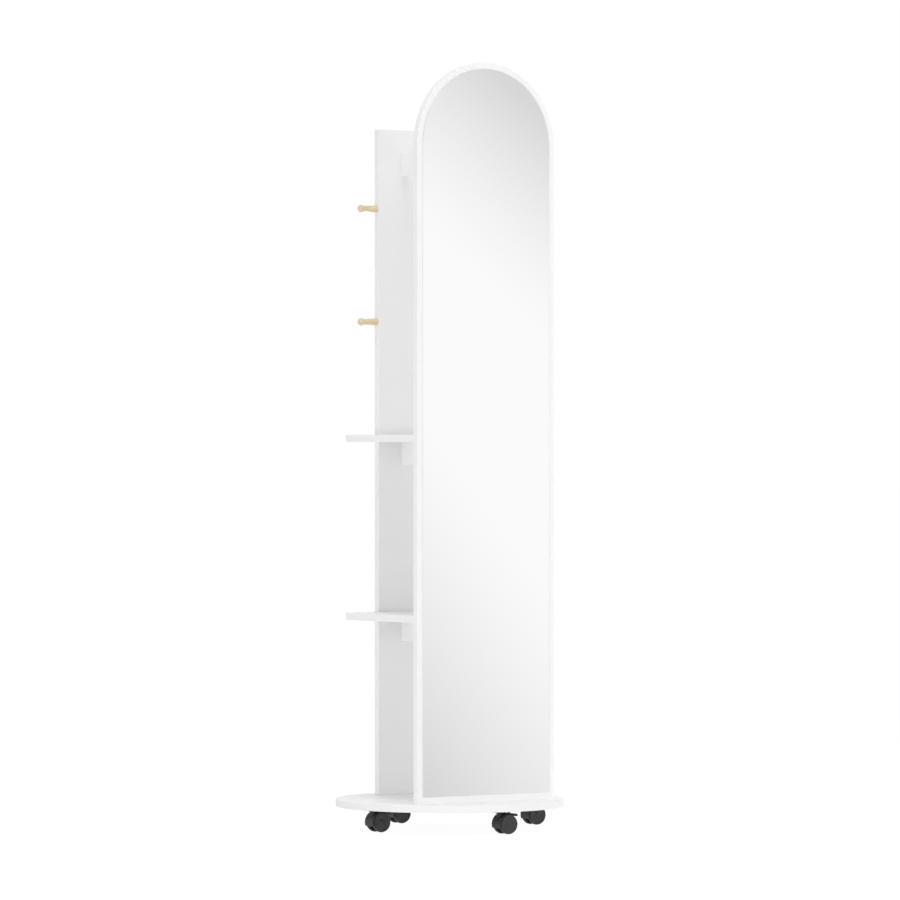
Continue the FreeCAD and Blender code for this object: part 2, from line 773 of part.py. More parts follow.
def make_peg(label, side, rise):
    """Turned wooden peg along local +X: tapered shank, waist and ball knob."""
    seat = S["back_board_width"] / 2 * side
    turn = HALF if side < 0 else ZERO
    body = new_body(label, x=seat, y=peg_axis_y, z=disc_top + rise, turn=turn)
    base, waist = S["peg_base_diameter"] / 2, S["peg_waist_diameter"] / 2
    knob, length = S["peg_knob_diameter"] / 2, S["peg_length"]
    neck_x = length - knob * 2
    sketch = new_sketch(body, "XY_Plane")
    foot, rim = Vector(0, 0, 0), Vector(0, base.value, 0)
    neck = Vector(neck_x.value, waist.value, 0)
    face = sketch.addGeometry(Part.LineSegment(foot, rim))
    taper = sketch.addGeometry(Part.LineSegment(rim, neck))
    # The arcs' ends are first guesses: the constraints below settle where they meet.
    ball_end = math.radians(130)
    blend_start, blend_end = math.radians(265), math.radians(310)
    blend_radius = S["peg_waist_blend"]
    ball_ring = Part.Circle(Vector(length.value - knob.value, 0, 0), UP, knob.value)
    ball = sketch.addGeometry(Part.ArcOfCircle(ball_ring, 0, ball_end))
    blend_centre = Vector(neck.x, waist.value + blend_radius.value, 0)
    blend_ring = Part.Circle(blend_centre, UP, blend_radius.value)
    blend = sketch.addGeometry(Part.ArcOfCircle(blend_ring, blend_start, blend_end))
    tip = Vector(length.value, 0, 0)
    axis = sketch.addGeometry(Part.LineSegment(tip, foot))
    add = sketch.addConstraint
    add(Sketcher.Constraint("Coincident", face, START, *ORIGIN_POINT))
    add(Sketcher.Constraint("Vertical", face))
    add(Sketcher.Constraint("Coincident", face, END, taper, START))
    add(Sketcher.Constraint("Tangent", taper, END, blend, START))
    add(Sketcher.Constraint("Tangent", blend, END, ball, END))
    add(Sketcher.Constraint("Coincident", ball, START, axis, START))
    add(Sketcher.Constraint("Coincident", axis, END, face, START))
    add(Sketcher.Constraint("Horizontal", axis))
    add(Sketcher.Constraint("PointOnObject", ball, CENTRE, X_AXIS))
    dimension(sketch, "DistanceY", face, START, face, END, base)
    dimension(sketch, "DistanceY", *ORIGIN_POINT, taper, END, waist)
    dimension(sketch, "DistanceX", *ORIGIN_POINT, ball, CENTRE, length - knob)
    dimension(sketch, "Radius", ball, knob)
    dimension(sketch, "Radius", blend, blend_radius)
    revolve(body, sketch, "H_Axis")
    pilot = S["peg_screw_diameter"] + S["hole_clearance"]
    drill(body, "YZ_Plane", [(ZERO, ZERO)], pilot, S["peg_screw_depth"] + S["hole_clearance"],
          reverse=True)


def make_pegs():
    spots = []
    for side, side_name in ((-1, "left"), (1, "right")):
        for level, rise in peg_rises.items():
            make_peg("%s_%s_peg" % (side_name, level), side, rise)
            spots.append({
                "x": S["back_board_width"] / 2 * side, "y": peg_axis_y,
                "z": disc_top + rise, "turn": QUARTER, "axis": Y_WAYS,
            })
    repeat("peg_screws", peg_screw_prototype(), spots)


# ---------------------------------------------------------------- casters

side_x = S["side_caster_offset"]
caster_spots = {
    "front": (S["front_caster_offset"], -S["caster_pitch_radius"]),
    "rear": (S["rear_caster_offset"], S["caster_pitch_radius"]),
    "left": (side_x - S["caster_pitch_radius"], ZERO),
    "right": (side_x + S["caster_pitch_radius"], ZERO),
}
axle_height = S["wheel_diameter"] / 2
plate_underside = S["caster_height"] - S["caster_plate_thickness"]
housing_top = plate_underside - S["swivel_gap"]
kingpin_foot = S["caster_height"] - S["kingpin_depth"]
housing_half = S["wheel_gap"] / 2 + S["wheel_width"]
well_radius = axle_height + S["wheel_top_gap"]
hood_radius = well_radius + S["housing_wall"]


def plate_corners():
    reach = S["caster_screw_spacing"] / 2
    return [(u, v) for u in both_ways(reach) for v in both_ways(reach)]


def make_caster_plate(label, x, y):
    body = new_body(label, x=x, y=y, z=plate_underside)
    half = S["caster_plate_side"] / 2
    sketch = new_sketch(body, "XY_Plane")
    rectangle(sketch, -half, -half, half, half)
    plate = pad(body, sketch, S["caster_plate_thickness"])
    rounded_rectangle_corners(body, plate, S["caster_plate_corner"])
    hole = S["caster_screw_diameter"] + S["hole_clearance"]
    drill(body, "XY_Plane", plate_corners(), hole, S["caster_plate_thickness"], reverse=True)
    bore = new_sketch(body, "XZ_Plane")
    pin, head = S["kingpin_diameter"] / 2, S["kingpin_head_diameter"] / 2
    top = S["caster_plate_thickness"]
    chain(bore, [(ZERO, ZERO), (pin, ZERO), (head, top), (ZERO, top)])
    revolve(body, bore, "V_Axis", groove=True)


def make_kingpin(label, x, y):
    """Rivet flush in the plate, with a retaining groove near its foot."""
    body = new_body(label, x=x, y=y, z=kingpin_foot)
    pin, head = S["kingpin_diameter"] / 2, S["kingpin_head_diameter"] / 2
    top = S["kingpin_depth"]
    waist = pin - S["kingpin_groove_depth"]
    groove_foot = S["kingpin_groove_width"]
    sketch = new_sketch(body, "XZ_Plane")
    chain(sketch, [
        (ZERO, ZERO), (pin - S["pin_chamfer"], ZERO), (pin, S["pin_chamfer"]),
        (pin, groove_foot), (waist, groove_foot), (waist, groove_foot * 2),
        (pin, groove_foot * 2), (pin, top - S["caster_plate_thickness"]), (head, top),
        (ZERO, top),
    ])
    revolve(body, sketch, "V_Axis")


def hood_outline(sketch):
    """Side view of the housing: hood round the leading side, lip over the wheels'
    trailing side, and a boss round the axle."""
    trail, boss = S["caster_trail"], S["housing_boss_diameter"] / 2
    skirt, reach = S["housing_skirt_height"], trail + S["housing_lip_reach"]
    lip_top = axle_height + hood_radius - S["housing_lip_droop"]
    lip_foot = lip_top - S["housing_lip_thickness"]
    axle = Vector(trail.value, axle_height.value, 0)
    skirt_turn = math.asin((axle_height.value - skirt.value) / hood_radius.value)
    hood_ring = Part.Circle(axle, UP, hood_radius.value)
    hood = sketch.addGeometry(Part.ArcOfCircle(hood_ring, math.pi / 2, math.pi + skirt_turn))
    boss_ring = Part.Circle(axle, UP, boss.value)
    boss_arc = sketch.addGeometry(Part.ArcOfCircle(boss_ring, -math.pi / 2, 0))
    crown = Vector(trail.value, axle_height.value + hood_radius.value, 0)
    tip_x = reach - S["housing_lip_slant"]
    tip = Vector(tip_x.value, lip_top.value, 0)
    tip_foot = Vector(reach.value, lip_foot.value, 0)
    root = Vector(trail.value + boss.value, lip_foot.value, 0)
    rear = Vector(root.x, axle.y, 0)
    boss_foot = Vector(axle.x, axle.y - boss.value, 0)
    toe = Vector(axle.x - hood_radius.value * math.cos(skirt_turn), skirt.value, 0)
    corners = [crown, tip, tip_foot, root, rear]
    top, end, under, back = [
        sketch.addGeometry(Part.LineSegment(a, b)) for a, b in zip(corners, corners[1:])
    ]
    foot = sketch.addGeometry(Part.LineSegment(boss_foot, toe))
    for first, first_end, second, second_end in (
        (hood, START, top, START), (top, END, end, START), (end, END, under, START),
        (under, END, back, START), (back, END, boss_arc, END), (boss_arc, START, foot, START),
        (foot, END, hood, END), (hood, CENTRE, boss_arc, CENTRE),
    ):
        sketch.addConstraint(
            Sketcher.Constraint("Coincident", first, first_end, second, second_end)
        )
    pin_point(sketch, hood, CENTRE, trail, axle_height)
    dimension(sketch, "Radius", hood, hood_radius)
    dimension(sketch, "Radius", boss_arc, boss)
    dimension(sketch, "DistanceX", *ORIGIN_POINT, hood, START, trail)
    dimension(sketch, "DistanceY", *ORIGIN_POINT, hood, END, skirt)
    dimension(sketch, "DistanceX", *ORIGIN_POINT, boss_arc, START, trail)
    dimension(sketch, "DistanceY", *ORIGIN_POINT, boss_arc, END, axle_height)
    pin_point(sketch, end, START, tip_x, lip_top)
    pin_point(sketch, end, END, reach, lip_foot)
    pin_point(sketch, under, END, trail + boss, lip_foot)


def make_housing(label, x, y):
    """Moulded swivel housing: a hood over both wheels, a centre body between them that
    carries the axle, and a flanged neck round the kingpin."""
    body = new_body(label, x=x, y=y, turn=S["caster_rest_turn"])
    outline = new_sketch(body, "XZ_Plane")
    hood_outline(outline)
    pad(body, outline, housing_half * 2, middle=True)
    body_half = S["wheel_gap"] / 2 - S["wheel_side_gap"]
    for offset, far in ((housing_half, False), (-housing_half, True)):
        well = new_sketch(body, "XZ_Plane", offset)
        circle(well, S["caster_trail"], axle_height, well_radius * 2)
        pocket(body, well, housing_half - body_half, reverse=far)
    neck_foot = kingpin_foot - S["housing_bore_floor"]
    flange_foot = housing_top - S["housing_flange_height"]
    flange, neck = S["housing_flange_diameter"] / 2, S["housing_neck_diameter"] / 2
    shoulder = axle_height + well_radius
    turned = new_sketch(body, "XZ_Plane")
    chain(turned, [
        (ZERO, neck_foot), (neck, neck_foot), (neck, shoulder), (flange, flange_foot),
        (flange, housing_top), (ZERO, housing_top),
    ])
    revolve(body, turned, "V_Axis")
    bore = S["kingpin_diameter"] + S["running_clearance"] * 2
    drill(body, "XY_Plane", [(ZERO, ZERO)], bore, housing_top - kingpin_foot + S["swivel_gap"],
          offset=housing_top)
    axle_hole = new_sketch(body, "XZ_Plane")
    circle(axle_hole, S["caster_trail"], axle_height, S["axle_diameter"])
    pocket(body, axle_hole, S["wheel_gap"] * 2, middle=True)


def make_axle(label, x, y):
    body = new_body(label, x=x, y=y, turn=S["caster_rest_turn"])
    sketch = new_sketch(body, "XZ_Plane")
    circle(sketch, S["caster_trail"], axle_height, S["axle_diameter"])
    bar = pad(body, sketch, axle_reach * 2, middle=True)
    round_all(body, bar, S["pin_chamfer"], kind="Chamfer")


wheel_bore_depth = S["wheel_width"] - S["wheel_face_thickness"]
axle_reach = S["wheel_gap"] / 2 + wheel_bore_depth - S["axle_end_gap"]


def make_wheel(label, x, y, side):
    """Moulded wheel turned about the axle: ribbed behind a closed, ringed face."""
    body = new_body(label, x=x, y=y, turn=S["caster_rest_turn"])
    rim = S["wheel_diameter"] / 2
    inner = S["wheel_gap"] / 2
    outer = inner + S["wheel_width"]
    face_back = outer - S["wheel_face_thickness"]
    edge = S["wheel_edge_round"]
    tread_gap = (S["wheel_width"] - S["wheel_tread_width"]) / 2
    step = S["wheel_tread_step"]
    ring, cap = S["wheel_ring_radius"], S["wheel_cap_radius"]
    dip, rise = S["wheel_ring_depth"], S["wheel_cap_rise"]
    bore = S["axle_diameter"] / 2 + S["running_clearance"]
    hub, hollow = S["wheel_hub_diameter"] / 2, S["wheel_rim_inner"]
    profile = [
        (bore, inner), (hub, inner), (hub, face_back), (hollow, face_back), (hollow, inner),
        (rim - edge, inner), (rim - step, inner + edge), (rim - step, inner + tread_gap),
        (rim, inner + tread_gap + step), (rim, outer - tread_gap - step),
        (rim - step, outer - tread_gap), (rim - step, outer - edge), (rim - edge, outer),
        (ring + dip, outer), (ring, outer - dip), (cap + dip, outer - dip), (cap, outer),
        (cap - rise, outer + rise), (ZERO, outer + rise), (ZERO, face_back),
        (bore, face_back),
    ]
    sketch = new_sketch(body, "YZ_Plane", S["caster_trail"])
    chain(sketch, [(a * side, r + axle_height) for r, a in profile])
    # The axle line is a construction line through the wheel's centre.
    level = axle_height.value
    line = Part.LineSegment(Vector(-rim.value, level, 0), Vector(rim.value, level, 0))
    index = sketch.addGeometry(line, True)
    pin_point(sketch, index, START, -rim, axle_height)
    pin_point(sketch, index, END, rim, axle_height)
    revolve(body, sketch, "Axis0")
    add_ribs(body, sketch, side, hub, hollow, face_back)


def add_ribs(body, axis_sketch, side, hub, hollow, face_back):
    """Radial ribs between hub and rim, repeated about the axle."""
    half = S["wheel_rib_thickness"] / 2
    rib_foot = S["wheel_gap"] / 2 + S["wheel_rib_inset"]
    sketch = new_sketch(body, "XZ_Plane", -face_back * side)
    trail = S["caster_trail"]
    rectangle(sketch, trail - half, axle_height + hub - half, trail + half, axle_height + hollow + half)
    rib = pad(body, sketch, face_back - rib_foot, reverse=side < 0)
    pattern = body.newObject("PartDesign::PolarPattern", body.Name + "_ribs")
    pattern.Originals = [rib]
    pattern.Axis = (axis_sketch, ["Axis0"])
    pattern.Angle = 360
    pattern.setExpression("Occurrences", S["wheel_rib_count"].text)
    body.Tip = pattern


def make_casters():
    screws = []
    for name, (x, y) in caster_spots.items():
        make_caster_plate(name + "_caster_plate", x, y)
        make_kingpin(name + "_caster_kingpin", x, y)
        make_housing(name + "_caster_housing", x, y)
        make_axle(name + "_caster_axle", x, y)
        make_wheel(name + "_caster_near_wheel", x, y, -1)
        make_wheel(name + "_caster_far_wheel", x, y, 1)
        screws += [{"x": x + u, "y": y + v, "z": plate_underside} for u, v in plate_corners()]
    repeat("caster_screws", caster_screw_prototype(), screws)


# ---------------------------------------------------------------- assembly

make_base_disc()
make_mirror_board()
make_back_board()
make_glass()
make_tape()
for shelf_label, shelf_z in shelf_heights.items():
    make_shelf(shelf_label, shelf_z)
for rail_label, rail_z in rail_heights.items():
    make_rail(rail_label, rail_z)
make_knock_down_fittings()
make_base_screws()
make_pegs()
make_casters()
doc.recompute()


def check_document():
    for item in doc.Objects:
        if "Invalid" in item.State or "Error" in item.State:
            raise RuntimeError("%s failed: %s" % (item.Label, item.State))
        if item.TypeId in ("PartDesign::Pocket", "PartDesign::Groove"):
            if item.Shape.Volume >= item.BaseFeature.Shape.Volume:
                raise RuntimeError("%s cuts nothing" % item.Label)
    for label, item in parts.items():
        if item.Shape.isNull() or not item.Shape.isValid():
            raise RuntimeError("%s has no valid shape" % label)


check_document()
for label, item in parts.items():
    item.Shape.exportStep("parts/%s.step" % label)
print("%d nodes written" % len(parts))
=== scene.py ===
"""Looks of the mobile mirror stand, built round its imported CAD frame. Metres."""
import json
import math

import bpy
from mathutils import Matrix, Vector


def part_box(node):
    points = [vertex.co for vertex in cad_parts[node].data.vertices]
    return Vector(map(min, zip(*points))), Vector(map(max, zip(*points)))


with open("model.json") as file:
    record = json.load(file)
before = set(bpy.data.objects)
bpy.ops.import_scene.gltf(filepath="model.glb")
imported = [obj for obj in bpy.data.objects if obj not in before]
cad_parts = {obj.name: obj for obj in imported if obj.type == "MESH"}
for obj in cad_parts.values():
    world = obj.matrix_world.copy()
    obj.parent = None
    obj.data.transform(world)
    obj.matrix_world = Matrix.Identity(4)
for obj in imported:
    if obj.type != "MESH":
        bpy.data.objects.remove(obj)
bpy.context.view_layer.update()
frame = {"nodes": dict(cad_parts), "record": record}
NODES = frame["nodes"]
FLOOR_LEVEL = 0.0


# ---------------------------------------------------------------- colours and nodes

X, Y, Z = 0, 1, 2
# Most of a noise texture's values lie between these two.
NOISE_LOW = 0.3
NOISE_HIGH = 0.7


def grey(level, warmth=0.0):
    """A linear colour of that brightness, a little warmer than grey."""
    return (level * (1 + warmth), level, level * (1 - warmth), 1.0)


def darker(colour, share):
    """That colour at a share of its brightness."""
    return tuple(channel * share for channel in colour[:3]) + (1.0,)


class Tree:
    """A node tree with short calls for the nodes that these materials use."""

    def __init__(self, tree):
        self.tree = tree
        tree.nodes.clear()

    def add(self, kind, inputs=None, **settings):
        node = self.tree.nodes.new(kind)
        for name, value in settings.items():
            setattr(node, name, value)
        for name, value in (inputs or {}).items():
            self.feed(node.inputs[name], value)
        return node

    def feed(self, socket, value):
        if isinstance(value, bpy.types.NodeSocket):
            self.tree.links.new(value, socket)
        else:
            socket.default_value = value

    def place(self, scale=(1, 1, 1)):
        """The object's own coordinates, in metres, stretched by scale."""
        here = self.add("ShaderNodeTexCoord")
        mapping = self.add("ShaderNodeMapping", {"Vector": here.outputs["Object"], "Scale": scale})
        return mapping.outputs["Vector"]

    def place_along(self, axis, along, across):
        """The object's own coordinates, with one scale along an axis and another across it.
        A texture's features are longer where the scale is below 1."""
        scale = [across, across, across]
        scale[axis] = along
        return self.place(scale)

    def split(self, vector):
        """The X, Y and Z parts of a vector."""
        return self.add("ShaderNodeSeparateXYZ", {"Vector": vector}).outputs

    def squareness(self, axis):
        """1 where the surface faces that axis squarely, and 0 where it runs along it."""
        normal = self.add("ShaderNodeNewGeometry").outputs["True Normal"]
        return self.math("ABSOLUTE", self.split(normal)[axis])

    def noise(self, vector, size, detail=2.0, roughness=0.5, distortion=0.0):
        """Soft noise whose features are about size metres across."""
        node = self.add("ShaderNodeTexNoise", {
            "Vector": vector, "Scale": 1 / size, "Detail": detail,
            "Roughness": roughness, "Distortion": distortion,
        })
        return node.outputs["Fac"]

    def remap(self, value, low, high, to_low=0.0, to_high=1.0):
        node = self.add("ShaderNodeMapRange", {
            "Value": value, "From Min": low, "From Max": high, "To Min": to_low, "To Max": to_high,
        })
        return node.outputs["Result"]

    def spread(self, noise, to_low=0.0, to_high=1.0):
        """Noise with its usual range stretched over the one given."""
        return self.remap(noise, NOISE_LOW, NOISE_HIGH, to_low, to_high)

    def math(self, operation, first, second=0.0):
        node = self.add("ShaderNodeMath", operation=operation)
        self.feed(node.inputs[0], first)
        self.feed(node.inputs[1], second)
        return node.outputs[0]

    def blend(self, factor, first, second):
        node = self.add("ShaderNodeMix", data_type="RGBA")
        for name, value in (("Factor_Float", factor), ("A_Color", first), ("B_Color", second)):
            socket = next(item for item in node.inputs if item.identifier == name)
            self.feed(socket, value)
        return next(item for item in node.outputs if item.identifier == "Result_Color")

    def bump(self, height, distance, strength, under=None):
        node = self.add("ShaderNodeBump", {
            "Height": height, "Distance": distance, "Strength": strength,
        })
        if under is not None:
            self.feed(node.inputs["Normal"], under)
        return node.outputs["Normal"]

    def principled(self, **inputs):
        """A surface shader, with inputs named as the shader names them."""
        shader = self.add("ShaderNodeBsdfPrincipled")
        for name, value in inputs.items():
            self.feed(shader.inputs[name.replace("_", " ")], value)
        return shader.outputs["BSDF"]

    def white_glow(self, strength):
        glow = self.add("ShaderNodeEmission", {"Color": grey(1.0), "Strength": strength})
        return glow.outputs["Emission"]

    def mix_shaders(self, factor, first, second):
        node = self.add("ShaderNodeMixShader", {"Fac": factor})
        self.feed(node.inputs[1], first)
        self.feed(node.inputs[2], second)
        return node.outputs["Shader"]

    def output(self, shader):
        self.add("ShaderNodeOutputMaterial", {"Surface": shader})


def new_material(name):
    material = bpy.data.materials.new(name)
    material.use_nodes = True
    return material, Tree(material.node_tree)


# ---------------------------------------------------------------- boards

BOARD_WHITE = 0.90
BOARD_MOTTLE = 0.012
BOARD_CLOUD = 0.16
BOARD_WARMTH = 0.002
BOARD_ROUGHNESS = (0.36, 0.44)
DULL_PATCH = 0.035
PEEL_SIZE = 0.0016
PEEL_DEPTH = 0.00003
PEEL_STRENGTH = 0.3
# A surface is an edge where it faces the thin axis less squarely than the first of these, and
# wholly so below the second.
EDGE_SQUARENESS = (0.9, 0.6)
EDGE_ROUGHENING = 0.1
EDGE_FIBRE = 0.02
FIBRE_SIZE = 0.0008
FIBRE_STRETCH = 0.12
FIBRE_DEPTH = 0.00001
FIBRE_STRENGTH = 0.4
LACQUER_IOR = 1.5
LACQUER_SHINE = 0.4


def board_material(name, thin):
    """Satin white lacquer on fibreboard: faint clouds and orange peel on the two faces, and
    a duller, finely fibrous surface on the edges, which face away from the thin axis."""
    material, tree = new_material(name)
    here = tree.place()
    edge = tree.remap(tree.squareness(thin), *EDGE_SQUARENESS)
    fibres = tree.noise(tree.place_along(thin, along=1.0, across=FIBRE_STRETCH), FIBRE_SIZE)
    cloud = tree.spread(tree.noise(here, BOARD_CLOUD, detail=3.0))
    peel = tree.noise(here, PEEL_SIZE, detail=1.5)
    roughness = tree.spread(tree.noise(here, DULL_PATCH, detail=4.0), *BOARD_ROUGHNESS)
    face = tree.blend(cloud, grey(BOARD_WHITE - BOARD_MOTTLE), grey(BOARD_WHITE, BOARD_WARMTH))
    fibre_tone = tree.blend(fibres, grey(BOARD_WHITE - EDGE_FIBRE), grey(BOARD_WHITE))
    peel_normal = tree.bump(peel, PEEL_DEPTH, PEEL_STRENGTH)
    edge_fibres = tree.math("MULTIPLY", fibres, edge)
    tree.output(tree.principled(
        Base_Color=tree.blend(edge, face, fibre_tone),
        Roughness=tree.math("ADD", roughness, tree.math("MULTIPLY", edge, EDGE_ROUGHENING)),
        Normal=tree.bump(edge_fibres, FIBRE_DEPTH, FIBRE_STRENGTH, under=peel_normal),
        IOR=LACQUER_IOR, Specular_IOR_Level=LACQUER_SHINE,
    ))
    return material


# ---------------------------------------------------------------- mirror

SILVER = (0.963, 0.966, 0.965, 1.0)
SILVER_HAZE = (0.012, 0.022)
HAZE_SIZE = 0.09
# Glass that faces the mirror's axis less squarely than this is its edge.
FACE_SQUARENESS = 0.98
GROUND_GLASS = (0.965, 0.985, 0.98, 1.0)
GROUND_METALLIC = 0.9
GROUND_ROUGHNESS = 0.2
GRIND_SIZE = 0.0008
GRIND_DEPTH = 0.00002
GRIND_STRENGTH = 0.4


def mirror_material():
    """Silvered glass on the face and back, with ground and polished thin edges."""
    material, tree = new_material("silvered_glass")
    here = tree.place()
    edge = tree.math("LESS_THAN", tree.squareness(Y), FACE_SQUARENESS)
    haze = tree.spread(tree.noise(here, HAZE_SIZE, detail=3.0), *SILVER_HAZE)
    silver = tree.principled(Base_Color=SILVER, Metallic=1.0, Roughness=haze)
    grind = tree.bump(tree.noise(here, GRIND_SIZE), GRIND_DEPTH, GRIND_STRENGTH)
    ground = tree.principled(
        Base_Color=GROUND_GLASS, Metallic=GROUND_METALLIC, Roughness=GROUND_ROUGHNESS, Normal=grind,
    )
    tree.output(tree.mix_shaders(edge, silver, ground))
    return material


# ---------------------------------------------------------------- pegs and dowels

BEECH_PALE = (0.815, 0.67, 0.477, 1.0)
BEECH_DARK = (0.71, 0.54, 0.345, 1.0)
GRAIN_SIZE = 0.0016
GRAIN_STRETCH = 0.06
GRAIN_RANGE = (0.36, 0.64)
GRAIN_DEPTH = 0.00005
GRAIN_STRENGTH = 0.4
BAND_SIZE = 0.006
BAND_SHARE = 0.4
FLECK_SIZE = 0.0009
FLECK_STRETCH = 0.22
FLECK_RANGE = (0.62, 0.70)
FLECK_SHADE = 0.72
FLECK_SHARE = 0.5
WOOD_ROUGHNESS = (0.38, 0.5)
WOOD_COAT = 0.35
WOOD_COAT_ROUGHNESS = 0.25


def wood_material(name, along, coat):
    """Light turned beech: long fibres along one axis, with short darker flecks."""
    material, tree = new_material(name)
    lengthwise = tree.place_along(along, along=GRAIN_STRETCH, across=1.0)
    fleckwise = tree.place_along(along, along=FLECK_STRETCH, across=1.0)
    fibres = tree.noise(lengthwise, GRAIN_SIZE, detail=5.0, roughness=0.6, distortion=0.3)
    bands = tree.math("MULTIPLY", tree.noise(lengthwise, BAND_SIZE), BAND_SHARE)
    grain = tree.math("ADD", tree.math("MULTIPLY", fibres, 1 - BAND_SHARE), bands)
    colour = tree.blend(tree.remap(grain, *GRAIN_RANGE), BEECH_DARK, BEECH_PALE)
    flecks = tree.remap(tree.noise(fleckwise, FLECK_SIZE, detail=1.0), *FLECK_RANGE)
    fleck_share = tree.math("MULTIPLY", flecks, FLECK_SHARE)
    tree.output(tree.principled(
        Base_Color=tree.blend(fleck_share, colour, darker(BEECH_DARK, FLECK_SHADE)),
        Roughness=tree.spread(fibres, *WOOD_ROUGHNESS),
        Normal=tree.bump(fibres, GRAIN_DEPTH, GRAIN_STRENGTH),
        Coat_Weight=coat, Coat_Roughness=WOOD_COAT_ROUGHNESS,
    ))
    return material


# ---------------------------------------------------------------- plastics, metals and foam

SCUFF_SIZE = 0.011
SCUFF_RANGE = (0.35, 0.68)
SCUFF_ROUGHENING = 0.12
SCUFF_WARMTH = 0.01
PLASTIC_MOTTLE = 0.15
PLASTIC_DEPTH = 0.00006
PLASTIC_STRENGTH = 0.35
NYLON_IOR = 1.53

TOOL_MARK_SIZE = 0.0005
TOOL_MARK_STRETCH = 0.05
TOOL_MARK_DEPTH = 0.00002
TOOL_MARK_STRENGTH = 0.4
METAL_CLOUD = 0.004
METAL_SHADE = 0.86
METAL_ROUGHNESS_SPREAD = (-0.05, 0.08)

# The darker grey is the hollow of each cut bubble: the foam's own grey with painted shade.
FOAM_HOLLOW_SHADE = 0.62
FOAM_PALE = 0.74
FOAM_WARMTH = 0.02
FOAM_ROUGHNESS = 0.9
CELL_SIZE = 0.0007
CELL_RANGE = (0.0, 0.6)
CELL_DEPTH = 0.0001
CELL_STRENGTH = 0.6


def plastic_material(name, level, roughness, grain_size, scuff=0.0):
    """Moulded nylon: fine grain, uneven sheen and dusty scuffs."""
    material, tree = new_material(name)
    here = tree.place()
    grain = tree.noise(here, grain_size)
    patch = tree.remap(tree.noise(here, SCUFF_SIZE, detail=4.0, roughness=0.6), *SCUFF_RANGE)
    dark = grey(level * (1 - PLASTIC_MOTTLE))
    pale = grey(level * (1 + PLASTIC_MOTTLE) + scuff, SCUFF_WARMTH)
    tree.output(tree.principled(
        Base_Color=tree.blend(patch, dark, pale),
        Roughness=tree.remap(patch, 0.0, 1.0, roughness, roughness + SCUFF_ROUGHENING),
        Normal=tree.bump(grain, PLASTIC_DEPTH, PLASTIC_STRENGTH), IOR=NYLON_IOR,
    ))
    return material


def metal_material(name, colour, roughness, along, metallic=1.0):
    """Turned or plated metal with fine tool marks across one axis."""
    material, tree = new_material(name)
    marks_place = tree.place_along(along, along=1.0, across=TOOL_MARK_STRETCH)
    marks = tree.noise(marks_place, TOOL_MARK_SIZE, detail=3.0)
    cloud = tree.spread(tree.noise(tree.place(), METAL_CLOUD, detail=3.0))
    smooth, rough = [roughness + change for change in METAL_ROUGHNESS_SPREAD]
    tree.output(tree.principled(
        Base_Color=tree.blend(cloud, darker(colour, METAL_SHADE), colour), Metallic=metallic,
        Roughness=tree.spread(marks, smooth, rough),
        Normal=tree.bump(marks, TOOL_MARK_DEPTH, TOOL_MARK_STRENGTH),
    ))
    return material


def foam_material():
    """Closed-cell foam tape with its bubbles cut open along the sides, and painted shade in the
    hollow of each bubble.
    """
    material, tree = new_material("foam_tape")
    cells = tree.add("ShaderNodeTexVoronoi", {"Vector": tree.place(), "Scale": 1 / CELL_SIZE})
    # Lowest in each bubble's hollow: it sinks the bump there and darkens the colour as painted
    # shade.
    depth = tree.remap(cells.outputs["Distance"], *CELL_RANGE)
    tree.output(tree.principled(
        Base_Color=tree.blend(depth, grey(FOAM_HOLLOW_SHADE, FOAM_WARMTH), grey(FOAM_PALE, FOAM_WARMTH)),
        Roughness=FOAM_ROUGHNESS, Normal=tree.bump(depth, CELL_DEPTH, CELL_STRENGTH),
    ))
    return material


# ---------------------------------------------------------------- dressing

ZINC = (0.60, 0.60, 0.61, 1.0)
ZINC_PLATE = (0.66, 0.67, 0.68, 1.0)
BLACK_ZINC = (0.045, 0.045, 0.05, 1.0)
TURNED_STEEL = (0.58, 0.58, 0.60, 1.0)

# One for each thin axis: the rails, the upright boards, and the base and shelves.
BOARD_MATERIALS = [
    board_material(name, thin)
    for thin, name in enumerate(("rail_lacquer", "upright_lacquer", "level_lacquer"))
]
MATERIALS = {
    "mirror": mirror_material(),
    "foam_tape": foam_material(),
    "peg_wood": wood_material("lacquered_beech", X, coat=WOOD_COAT),
    "dowel_wood": wood_material("plain_beech", Y, coat=0.0),
    "white_cap": plastic_material(
        "white_cap_plastic", level=0.84, roughness=0.4, grain_size=0.0009,
    ),
    "cam_zinc": metal_material("cast_zinc", ZINC, roughness=0.42, along=Z),
    "fastener_steel": metal_material("zinc_plate", ZINC_PLATE, roughness=0.30, along=Z),
    "black_screw": metal_material(
        "black_zinc", BLACK_ZINC, roughness=0.42, along=Z, metallic=0.6,
    ),
    "caster_plate": plastic_material(
        "black_powder_coat", level=0.020, roughness=0.45, grain_size=0.0007,
    ),
    "pin_steel": metal_material("turned_steel", TURNED_STEEL, roughness=0.28, along=Z),
    "caster_housing": plastic_material(
        "housing_nylon", level=0.017, roughness=0.46, grain_size=0.0006,
    ),
    "caster_wheel": plastic_material(
        "wheel_nylon", level=0.029, roughness=0.44, grain_size=0.0006, scuff=0.005,
    ),
}


def board_finish(name):
    """The lacquer whose edges are the narrow sides of that board."""
    low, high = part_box(name)
    sides = [top - bottom for bottom, top in zip(low, high)]
    return BOARD_MATERIALS[sides.index(min(sides))]


def dress_nodes():
    """Every CAD node wears the material of its slot in the record, and boards their lacquer."""
    for entry in frame["record"]["subparts"]:
        name, slot = entry["node"], entry["material_slot"]
        node = NODES[name]
        node.data.materials.clear()
        node.data.materials.append(MATERIALS.get(slot) or board_finish(name))


# ---------------------------------------------------------------- camera

CAMERA_TURN = math.radians(35)
CAMERA_PLACE = Vector((-7.045, -10.062, 0.857))
VIEW_DEPTH = 100
SENSOR_WIDTH = 36.0
IMAGE_SIDE = 900
FOCAL_PIXELS = 5610
HORIZON_ROW = 437


